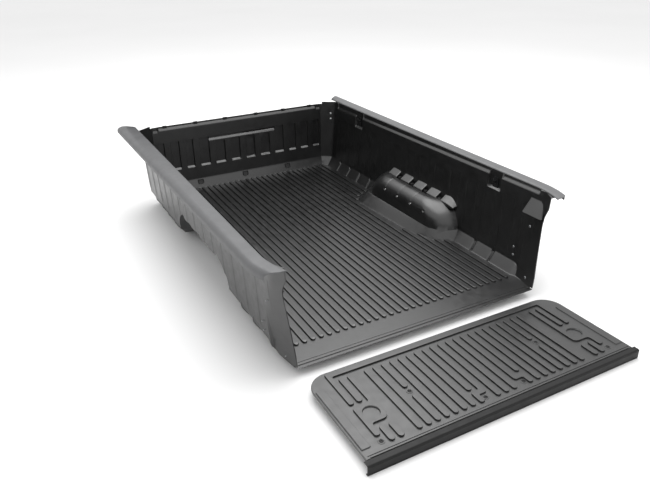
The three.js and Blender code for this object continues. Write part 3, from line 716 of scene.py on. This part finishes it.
def wedge_rings():
    """The sloping face near the rear top corner of each side."""
    wall, low, high, middle = 765, 374, 455, 408
    shape = fillet([(wall, 350), (748, 352), (698, low), (748, high), (wall, 457)], [0, 3, 4, 4, 0])
    rings = []
    for share, size in ((0.0, 0.9), (0.03, 0.98), (0.1, 1.0), (0.9, 1.0), (0.97, 0.98), (1.0, 0.9)):
        ring = []
        for x, z in shape:
            rise = clamp((z - low) / (high - low))
            front = -979 - 11 * rise
            rear = -1112 + 38 * rise ** 3
            ring.append((mix(wall, x, size), mix(front, rear, share), mix(middle, z, size)))
        rings.append(ring)
    return rings


def kick_rings(start, end, under=False):
    """A sloping kick between two plan points, the load space on its left; under gives the gap below it."""
    reach, top = TUB["front_kick_reach"], TUB["front_kick_top"]
    start, end = Vector(start), Vector(end)
    along = (end - start).normalized()
    inward = Vector((-along.y, along.x))
    back, below = -60, -40
    shape = [(reach + 3.5, below), (reach + 3.5, 4), (reach - 0.5, 5.6), (reach - 4, 12), (5.5, top - 12),
             (2.5, top - 5), (0.8, top), (-0.2, top + 6), (back, top + 6), (back, below)]
    if under:
        shape = [(reach - 6, below), (reach - 6, 4), (reach - 9, 9), (1, top - 16), (-4.2, top - 4),
                 (back, top - 4), (back, below)]
    rings = []
    for share in (0.0, 0.25, 0.5, 0.75, 1.0):
        base = start + (end - start) * share
        rings.append([(base.x + inward.x * a, base.y + inward.y * a, z) for a, z in shape])
    return rings


def pocket_rings(low_x, high_x, low_z, high_z, depth, rise):
    """A pocket in the front wall: flared at its mouth, flat at its back, with a bottom that slopes up."""
    outline = [(low_x, low_z), (high_x, low_z), (high_x, high_z), (low_x, high_z)]
    rings = []
    for place, inset in ((-2, -2.0), (0, -1.4), (1.2, -0.4), (2.6, 0.0), (depth - 1, 1.0), (depth, 2.6)):
        lift = rise * clamp(place / (depth - 1))
        ring = inset_outline(fillet(outline, 5, 3), inset)
        rings.append([(x, TUB["front"] + place, z + (lift if z < low_z + 8 else 0)) for x, z in ring])
    return rings


def front_pockets():
    """Every pocket of the front wall as (low x, high x, low z, high z, depth, rise)."""
    pockets = [(-606, 606, 461, 640, 10, 14), (-SHELF_HALF, SHELF_HALF, SHELF_LOW, POCKET_TOP, 11, 13)]
    for side in (1, -1):
        for near, far in POCKETS:
            top = SHELF_LOW - 7 if far < SHELF_HALF else POCKET_TOP
            pockets.append((*sorted((near * side, far * side)), POCKET_LOW, top, 11, 11))
        pockets.append((*sorted((614 * side, 646 * side)), 450, 640, 7, 12))
    return pockets


def floor_rib(x):
    """One floor rib; beside a wheel arch it is two stretches, behind the arch and ahead of it."""
    ahead = [(500, 300)] + FOOT_LOW[8:]
    inside_foot = -200.0
    if abs(x) < ahead[0][0]:
        return [rib_rings(x)]
    for (ax, ay), (bx, by) in zip(ahead, ahead[1:]):
        if ax <= abs(x) <= bx:
            start = ay + (abs(x) - ax) * (by - ay) / (bx - ax)
    return [rib_rings(x, rear=RIB["rear"], front=inside_foot), rib_rings(x, rear=start + 1.0)]


def gap_block(y):
    """The low step in the gap between two blocks."""
    outline = fillet([(699, y - 11), (719, y - 11), (719, y + 11), (699, y + 11)], 4)
    return prism(outline, 186, 211, 2.5)


def cut_side(space, side):
    """One side's arch, foot, blocks and wedge taken from the load space, and the arch's grooves opened."""
    cut(space, flip(arch_rings(), side))
    cut(space, flip(foot_rings(), side))
    cut(space, *[flip(block_rings(index), side) for index in range(BLOCK["count"])])
    cut(space, flip(wedge_rings(), side))
    cut(space, *[flip(gap_block(y), side) for y in gap_middles()])
    for y in gap_middles():
        for rings in arch_groove(y):
            add(space, flip(rings, side))


def front_kick(half, under=False):
    return kick_rings((half, TUB["front"]), (-half, TUB["front"]), under)


def corner_kick():
    """The kick across a cut front corner, run on past both ends of the cut."""
    start, end = Vector(CORNER_SIDE), Vector(CORNER_FRONT)
    past = (start - end) * 0.4
    return kick_rings(start + past, end - past)


def cut_apron(space):
    low = (-APRON["half"], TUB["rear"] - 40, APRON["low_z"])
    high = (APRON["half"], APRON["step"], APRON["open_z"])
    add(space, bar(low, high, 1.2, 0))
    low = (-APRON["line_half"], APRON["line_rear"], APRON["line_z"])
    high = (APRON["line_half"], APRON["line_front"], APRON["open_z"])
    add(space, bar(low, high, 0.8, 0))


def pocket_backing(low_x, high_x, low_z, high_z, depth, _):
    """The sheet behind a pocket, starting inside the wall's own sheet."""
    highest = 500
    low = (low_x - SHEET, TUB["front"] + BACKING_LAP, low_z - SHEET)
    high = (high_x + SHEET, TUB["front"] + depth + SHEET, min(high_z + SHEET, highest))
    return bar(low, high, 1.5, 1)


def make_tub():
    """The solid outside less the load space, in which the ribs, kicks and arches stand."""
    space = loft(space_rings())
    pockets = front_pockets()
    for pocket in pockets:
        add(space, pocket_rings(*pocket))
    for side in (1, -1):
        cut_side(space, side)
        cut(space, flip(corner_kick(), side))
    cut(space, front_kick(800))
    cut_apron(space)
    first = -(RIB["count"] - 1) / 2 * RIB["pitch"]
    middles = [first + index * RIB["pitch"] for index in range(RIB["count"])]
    cut(space, *[rings for x in middles for rings in floor_rib(x)])

    shell = loft(shell_rings())
    for side in (1, -1):
        cut(shell, flip(arch_rings(SHEET), side))
        cut(shell, flip(foot_rings(SHEET), side))
    for pocket in pockets:
        add(shell, pocket_backing(*pocket))
    cut(shell, front_kick(900, under=True))
    hollow_half = 470
    cut(shell, *[rib_rings(x, SHEET) for x in middles if 1 < abs(x) < hollow_half])
    half = TUB["front_rim_half"]
    cut(shell, bar((-half, 1098, TUB["front_rim_z"]), (half, 1300, 700), 0.5))
    for side in (1, -1):
        cut(shell, flip(prism(REAR_EDGE, 600, 800, 0, 0), side))
    combine(shell, space, "DIFFERENCE")
    settle(shell, "bed_liner_sheet", LINER, "root", ["bed_liner_tub"])


# ---- Rail caps ----

# The rail cap's section, over its outside and back along its underside, as (x, z).
CAP_OUTER = [(753.5, 506.5), (754, 509.5), (757, 512.5), (763, 514.6), (775, 515.4), (803, 515.6),
             (815, 514.6), (824, 511.8), (833, 507.4), (840, 502), (844.5, 496), (846.4, 489), (847, 474.5)]
CAP_INNER = [(843, 474.5), (842.4, 488), (840.5, 494), (836.5, 499), (830, 503.6), (822, 507.6), (814, 510.3),
             (803, 511.4), (775, 511.2), (764, 510.6), (760, 509.4), (758, 508.2), (757.4, 506.5)]


def cap_shift(y):
    """How far the cap's rear end turns in."""
    share = clamp((CAP["turn"] - y) / (CAP["turn"] - CAP["rear"]))
    return CAP["turn_in"] * share * share


def cap_taper(x, y):
    """How far the outer slope widens towards the cab."""
    crest, slope = 800, 46
    return clamp((x - crest) / slope) * y * CAP["taper"]


def make_rail_cap(label, side):
    outline = CAP_OUTER + CAP_INNER
    count = 60
    rings = []
    for step in range(count + 1):
        y = mix(CAP["rear"], CAP["front"] + CAP["nose"] - 2, step / count)
        rings.append([(x - cap_shift(y) + cap_taper(x, y), y, z) for x, z in outline])
    piece = loft(flip(rings, side))
    front = CAP["front"]
    inside, outside = 700, 950
    nose = [(inside, front - 16), (748, front - 14), (770, front + 8), (800, front + 38), (830, front + 64),
            (862, front + 74), (outside, front + 90), (outside, 1500), (inside, 1500)]
    tail = [(outside, -1300), (outside, -1085), (850, -1092), (838, -1106), (822, -1126), (806, -1144),
            (790, -1160), (774, -1174), (756, -1183), (740, -1188), (inside, -1190), (inside, -1300)]
    for outline in (nose, tail):
        plan = [(x * side, y) for x, y in outline]
        cut(piece, prism(plan, 400, 600))
    settle(piece, f"rail_cap_sheet_{label}", RAIL_PAINTED_LIGHT, "root", [f"rail_cap_{label}"], 40)


# ---- Tailgate liner ----

def gate_outline(inset):
    """The tailgate panel in plan, with two large round corners next to the bed."""
    half, near, far = GATE["half"] - inset, GATE["near"] - inset, GATE["far"] + inset
    radius = GATE["corner"] - inset
    steps = 12
    points = [(-half, far), (half, far)]
    for x, start in ((half - radius, 0), (-half + radius, 90)):
        for step in range(steps + 1):
            turn = math.radians(start + 90 * step / steps)
            points.append((x + radius * math.cos(turn), near - radius + radius * math.sin(turn)))
    return points


def raised(outline, height=GATE_RIB["height"], slope=0.5):
    """A flat-topped ridge on the tailgate panel, with steep flanks and a rounded brim."""
    low, high = GATE["top"] - 1.5, GATE["top"] + height
    rings = []
    for z, inset in ((low, -0.5), (GATE["top"], 0.0), (high - 1.4, slope), (high - 0.4, slope + 0.6),
                     (high, slope + 1.7)):
        rings.append([(x, y, z) for x, y in inset_outline(wound(outline), inset)])
    return rings


def sunk(outline, depth):
    """A groove cut into the tailgate panel."""
    rings = []
    for z, inset in ((GATE["top"] + 8, -1.0), (GATE["top"] + 0.2, -0.7), (GATE["top"] - 0.5, 0.0),
                     (GATE["top"] - depth, 0.6)):
        rings.append([(x, y, z) for x, y in inset_outline(wound(outline), inset)])
    return rings


def straight_rib(x, near, far):
    half = GATE_RIB["half"]
    return capsule((x, far + half), (x, near - half), half)


def gate_ribs():
    """The row of ribs: two stop short of a screw and go on behind it, and two bend round one."""
    near, far, half, pitch = GATE_RIB["near"], GATE_RIB["far"], GATE_RIB["half"], GATE_RIB["pitch"]
    outlines = []
    last = GATE_RIB["count"] // 2
    for index in range(-last, last + 1):
        x = index * pitch
        out = -1 if index < 0 else 1
        if abs(index) == last - 2:
            outlines += [straight_rib(x, near, -1479), straight_rib(x, -1527, far)]
        elif abs(index) == 3:
            outlines.append(straight_rib(x, near, -1621))
        elif abs(index) == 2:
            step = out * half
            bent = x + out * pitch
            outlines.append(fillet(
                [(x - step, near), (x + step, near), (x + step, -1633), (bent + step, -1633),
                 (bent + step, far), (bent - step, far), (bent - step, -1660), (x - step, -1660)],
                [12, 12, 8, 16, 12, 12, 8, 16], 4))
        else:
            outlines.append(straight_rib(x, near, far))
    return outlines


def gate_ends():
    """Ridges at both ends of the panel: a long frame, short bars, and a pad with a tail round the dish."""
    outlines = [fillet([(-601, -1464), (-577, -1464), (-577, -1276), (577, -1276), (577, -1464), (601, -1464),
                        (601, -1245), (-601, -1245)], [11.5, 11.5, 8, 8, 11.5, 11.5, 10, 10], 4)]
    for side in (1, -1):
        pad = fillet([(496, -1296), (522, -1296), (522, -1479), (603, -1479), (603, -1656), (577, -1656),
                      (577, -1591), (496, -1591)], [12, 12, 16, 20, 12, 12, 14, 32], 5)
        bars = [capsule((550, -1451), (550, -1309), 13), capsule((552.5, -1688), (552.5, -1628), 13.5),
                capsule((511, -1688), (511, -1628), 13.5)]
        outlines += [[(x * side, y) for x, y in outline] for outline in [pad] + bars]
    return outlines


def turned(x, y, profile, sides=28):
    """Rings round an upright axis, for a profile of (height, radius)."""
    return [[(px, py, z) for px, py in disc(x, y, radius, sides)] for z, radius in profile]


def make_gate():
    top, bottom = GATE["top"], GATE["top"] - GATE["skirt"]
    rim = ((bottom, 0.0), (top - 2.6, 0.0), (top - 1.0, 0.7), (top - 0.2, 1.9), (top, 3.4))
    panel = loft([[(x, y, z) for x, y in gate_outline(inset)] for z, inset in rim])
    hollow = [[(x, y, z) for x, y in gate_outline(SHEET)] for z in (bottom - 2, top - SHEET)]
    cut(panel, hollow)
    half_x, half_y = SCREW_PAD["half_x"], SCREW_PAD["half_y"]
    for x, y in GATE_SCREWS:
        add(panel, bar((x - half_x, y - half_y, bottom), (x + half_x, y + half_y, top - 1), 2))
    add(panel, *[raised(outline) for outline in gate_ribs() + gate_ends()])

    dish = ((20, 36.5), (top + 5.6, 36.5), (top + 4.6, 35), (top + 1.0, 34))
    for side in (1, -1):
        inner, outer, far, near = 641 * side, 684 * side, -1691, -1329
        border = fillet([(inner, far), (outer, far), (outer, near), (inner, near)], [10, 3, 3, 14], 4)
        add(panel, raised(border, 5.0, 2.0))
        cut(panel, turned(side * DISH["x"], DISH["y"], dish, 40))
    add(panel, raised(capsule((-668, -1730.4), (668, -1730.4), 3.4), 2.4, 0.3))
    for x, y in GATE_SCREWS:
        add(panel, turned(x, y, ((top - 1.5, 14.5), (top, 14.2), (top + 1.6, 13.2), (top + 2.0, 12.2))))
        cut(panel, turned(x, y, ((top + 0.2, 9.6), (top + 9, 10.6))))
    cut(panel, sunk(capsule((-676, -1724), (676, -1724), 2.6), 2.2))
    settle(panel, "tailgate_liner_sheet", GATE_SHEET, "tailgate", ["tailgate_liner"])


def make_edge_cap():
    near, far, top, bottom = EDGE["near"], EDGE["far"], EDGE["top"], EDGE["bottom"]
    shape = fillet([(near, top), (far, top), (far, bottom), (far + 12, bottom), (far + 12, bottom + 4),
                    (far + 4, bottom + 4), (far + 4, top - 4), (near, top - 4)],
                   [0.5, 9, 2.5, 1.2, 1.2, 1.5, 5, 0.5], 5)
    rings = []
    for share in (-1, -0.998, -0.6, -0.2, 0.2, 0.6, 0.998, 1):
        rings.append([(EDGE["half"] * share, y, z) for y, z in shape])
    piece = loft(rings)
    line_half = EDGE["half"] - 12
    for z in (-4, -34):
        cut(piece, bar((-line_half, far - 3, z - 1), (line_half, far + 1, z + 1), 0.5, 0))
    settle(piece, "tailgate_edge_cap_sheet", EDGE_SHEET_PAINTED_SHADE, "tailgate", ["tailgate_edge_cap"])


# ---- Small parts ----

def axis_of(node):
    """Where a CAD screw's head sits and which way it points, in millimetres, read from the frame."""
    points = np.array([v.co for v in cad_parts[node].data.vertices], float) / MM
    middle = points.mean(0)
    _, _, turns = np.linalg.svd(points - middle)
    axis = turns[0]
    along = (points - middle) @ axis
    radial = np.linalg.norm((points - middle) - np.outer(along, axis), axis=1)
    rim = radial > radial.max() * 0.9
    axis = axis if along[rim].mean() > 0 else -axis
    seat = ((points - middle) @ axis)[rim].min()
    return Vector(middle + axis * seat), Vector(axis)


def make_screw(node, body, material):
    """A pan-head screw with a washer face and a cross recess."""
    profile = [(-15.6, 0.4), (-14.0, 2.4), (-12, 2.9), (0.0, 2.9), (0.0, 8.4), (0.5, 8.5), (0.9, 7.4),
               (1.0, 6.2), (1.7, 6.0), (2.5, 5.2), (2.9, 3.8), (3.0, 1.5)]
    piece = loft(turned(0, 0, profile, 24))
    long, short = 3.4, 0.75
    for x, y in ((long, short), (short, long)):
        cut(piece, bar((-x, -y, 1.2), (x, y, 4), 0.3))
    seat, axis = axis_of(node)
    turn = Vector((0, 0, 1)).rotation_difference(axis).to_matrix().to_4x4()
    piece.data.transform(Matrix.Translation(seat * MM) @ turn)
    settle(piece, f"{node}_pan_head", material, body, [node])


def make_hook(node, side):
    """A tie-down hook: a riveted plate and a bent bar."""
    low, high = (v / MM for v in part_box(node))
    wall = max(abs(low.x), abs(high.x))
    y = (low.y + high.y) / 2
    plate = fillet([(y - 20, 405), (y + 20, 405), (y + 20, 468), (y - 20, 468)], 6)
    piece = loft(prism(plate, wall - 3, wall, 0.6, 0))
    path = [(2, 446), (12, 445), (16, 446), (18, 449), (18.5, 454), (18, 460), (17.5, 464.5)]
    add(piece, tube([(wall - out, y, z) for out, z in path], [4.6, 4.4, 4.2, 4.0, 3.8, 3.5, 2.2]))
    for z in (415, 428):
        add(piece, ball((wall - 3, y, z), (2.2, 4, 4)))
    piece.data.transform(Matrix.Diagonal((side, 1, 1, 1)))
    if side < 0:
        piece.data.flip_normals()
    settle(piece, f"{node}_bent", BLACK_STEEL, "root", [node])


def make_floor_clip(node):
    """An anchor clip on the front kick: a thin plate with a rectangular loop standing off it."""
    low, high = (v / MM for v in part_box(node))
    x = (low.x + high.x) / 2
    slope = math.atan2(65, TUB["front_kick_reach"])
    plate = loft(prism(fillet([(-15, -14), (15, -14), (15, 15), (-15, 15)], 4), -1.5, 0.2, 0.4))
    arm = [(-14, 15, 1), (-18.5, 14, 3.5), (-19, 6, 4), (-19, -8, 4), (-17, -13.5, 4), (-9, -15, 4)]
    add(plate, tube(arm + [(-a, b, c) for a, b, c in reversed(arm)], 2.4))
    add(plate, bar((-15, 12.5, 0), (15, 17, 5), 1.2, 0))
    y, z, lift = 1140, 49.8, 2.0
    turn = Matrix.Rotation(slope, 4, "X")
    place = Matrix.Translation(Vector((x, y - math.sin(slope) * lift, z + math.cos(slope) * lift)) * MM)
    plate.data.transform(place @ turn)
    settle(plate, f"{node}_bow", BLACK_STEEL, "root", [node])


def dress(node, material):
    """A CAD node that keeps its shape, with rounded edges and its own finish."""
    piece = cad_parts[node]
    piece.data.materials.clear()
    piece.data.materials.append(material)
    rim = piece.modifiers.new("rim", "BEVEL")
    rim.width = 0.4 * MM
    rim.segments = 2
    rim.limit_method = "ANGLE"


# ---- Assembly ----

make_tub()
for label, side in SIDES:
    make_rail_cap(label, side)
    dress(f"rail_tape_{label}", TAPE)
    for end in ("rear", "front"):
        make_hook(f"tie_down_hook_{label}_{end}", side)
make_gate()
make_edge_cap()
for name in sorted(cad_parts):
    if name.endswith("_screw"):
        make_screw(name, "root", STEEL)
    elif name.startswith("tailgate_screw"):
        make_screw(name, "tailgate", BLACK_STEEL)
    elif name.startswith("front_anchor_clip"):
        make_floor_clip(name)
    elif name.startswith("front_rim_clip"):
        dress(name, BLACK_STEEL)


# ---- Stage, light and camera ----

# Turns in degrees, place in metres, lens and sensor in millimetres.
CAMERA = {"azimuth": -27.661, "elevation": 26.342, "roll": -1.031, "place": (-1.5762, -3.1404, 1.6818),
          "lens": 34.95, "sensor": 36.0}


def dull(name, texture_scale, detail, low, high):
    """A dull grey for the stage, barely mottled."""
    material, tree, shader = nodes_of(name)
    mottle = noise(tree, texture_scale, detail)
    tree.links.new(ramp(tree, mottle, [(0.3, grey(low)), (0.7, grey(high))]), shader.inputs["Base Color"])
    shader.inputs["Roughness"].default_value = 0.9
    return material, shader


def make_floor():
    material, _ = dull("studio_floor", 0.4, 2.0, low=0.78, high=0.8)
    bm = bmesh.new()
    size = 60.0
    level = (EDGE["bottom"] - 1.0) * MM
    corners = ((-size, -size), (size, -size), (size, size), (-size, size))
    bm.faces.new([bm.verts.new((x, y, level)) for x, y in corners])
    floor = build(bm, "studio_floor")
    floor.data.materials.append(material)


def make_dark_card():
    """A black card hidden from the camera, where a cab's dark rear window would be reflected."""
    material, shader = dull("black_card", 3.0, 3.0, low=0.01, high=0.014)
    shader.inputs["Specular IOR Level"].default_value = 0.1
    card = loft(bar((-800, 1262, 500), (800, 1266, 860), 1.0))
    card.name = "black_card"
    card.data.materials.append(material)
    card.visible_camera = False


def make_light():
    world = bpy.data.worlds.new("studio")
    world.use_nodes = True
    tree = world.node_tree
    back = tree.nodes["Background"]
    where = tree.nodes.new("ShaderNodeTexCoord")
    split = tree.nodes.new("ShaderNodeSeparateXYZ")
    tree.links.new(where.outputs["Generated"], split.inputs["Vector"])
    height = span(tree, split.outputs["Z"], 0.0, 1.0, 0.0, 0.8)
    stops = [(0.0, grey(0.9)), (0.35, grey(0.9)), (1.0, grey(1.0))]
    tree.links.new(ramp(tree, height, stops), back.inputs["Color"])
    back.inputs["Strength"].default_value = 1.1
    bpy.context.scene.world = world
    light = bpy.data.lights.new("overhead", "AREA")
    light.shape = "RECTANGLE"
    light.size, light.size_y = 5.0, 6.0
    light.energy = 260.0
    lamp = bpy.data.objects.new("overhead", light)
    lamp.location = (0.6, 0.8, 4.2)
    bpy.context.scene.collection.objects.link(lamp)


def make_camera():
    azimuth, elevation, roll = (math.radians(CAMERA[turn]) for turn in ("azimuth", "elevation", "roll"))
    back = Vector((math.sin(azimuth) * math.cos(elevation), -math.cos(azimuth) * math.cos(elevation),
                   math.sin(elevation)))
    right = (-back).cross(Vector((0, 0, 1))).normalized()
    up = right.cross(-back)
    turned_right = right * math.cos(roll) + up * math.sin(roll)
    turned_up = up * math.cos(roll) - right * math.sin(roll)
    data = bpy.data.cameras.new("camera")
    data.sensor_width = CAMERA["sensor"]
    data.lens = CAMERA["lens"]
    camera = bpy.data.objects.new("camera", data)
    turn = Matrix((turned_right, turned_up, back)).transposed().to_4x4()
    camera.matrix_world = Matrix.Translation(CAMERA["place"]) @ turn
    bpy.context.scene.collection.objects.link(camera)
    bpy.context.scene.camera = camera


make_floor()
make_dark_card()
make_light()
make_camera()
bpy.context.scene.view_settings.view_transform = "Standard"
